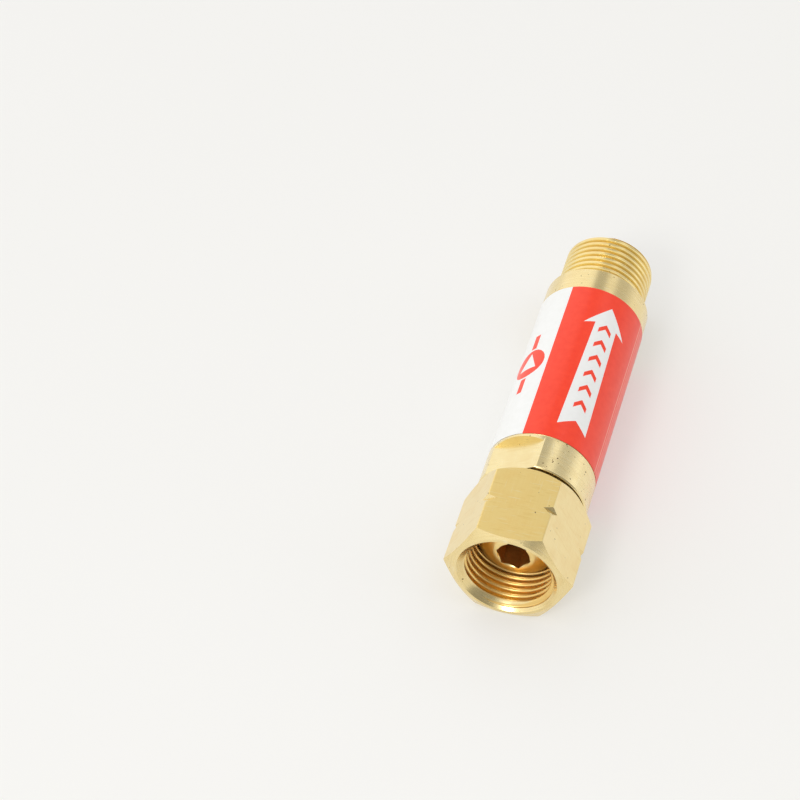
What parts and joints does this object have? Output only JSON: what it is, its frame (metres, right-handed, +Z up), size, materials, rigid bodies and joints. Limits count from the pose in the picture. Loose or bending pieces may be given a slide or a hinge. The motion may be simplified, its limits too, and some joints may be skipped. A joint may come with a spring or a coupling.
{
  "type": "check valve",
  "caption": "In-line brass gas check valve: hexagonal union nut on a ball-nose nipple, round collar with two spanner flats, labelled barrel and male threaded outlet, with a sprung poppet inside.",
  "frame": {"origin": "centre of the union nut's mouth, on the valve's axis", "axes": "+X along the axis in the direction of flow, from the union nut to the threaded outlet; +Z up, with the valve lying on a flat of its nut"},
  "size_m": [0.0795, 0.0228, 0.0198],
  "materials": {
    "body_brass": "satin turned",
    "nut_brass": "satin milled",
    "inner_brass": "turned",
    "label_film": "gloss print",
    "nitrile": "matte",
    "copper": "annealed",
    "stainless_wire": "drawn",
    "stainless_mesh": "woven",
    "spring_steel": "oiled",
    "sintered_bronze": "porous",
    "fibre": "pressed fibre"
  },
  "bodies": {
    "valve": {"valve_body": "body_brass", "flow_label": "label_film", "inlet_cap": "body_brass", "cap_o_ring": "nitrile", "inlet_nipple": "inner_brass", "nipple_washer": "copper", "inlet_strainer": "stainless_mesh", "valve_seat": "inner_brass", "seat_o_ring": "nitrile", "cage_sleeve": "inner_brass", "return_spring": "stainless_wire", "stem_guide": "inner_brass", "flame_filter": "sintered_bronze", "filter_ring": "inner_brass", "filter_gasket": "fibre"},
    "nut": {"union_nut": "nut_brass"},
    "poppet_group": {"poppet": "inner_brass", "poppet_seal": "nitrile", "seal_washer": "inner_brass", "seal_screw": "stainless_wire", "stem_clip": "spring_steel"}
  },
  "joints": [
    {"name": "union_nut_spin", "type": "hinge", "parent": "valve", "child": "nut", "pos_m": [0.008, 0, 0], "axis": [1, 0, 0], "continuous": true},
    {"name": "poppet_lift", "type": "slide", "parent": "valve", "child": "poppet_group", "axis": [1, 0, 0], "range_m": [0, 0.0025], "stiffness_N_per_m": 200, "springref_m": -0.002, "deforming": ["return_spring"]}
  ]
}
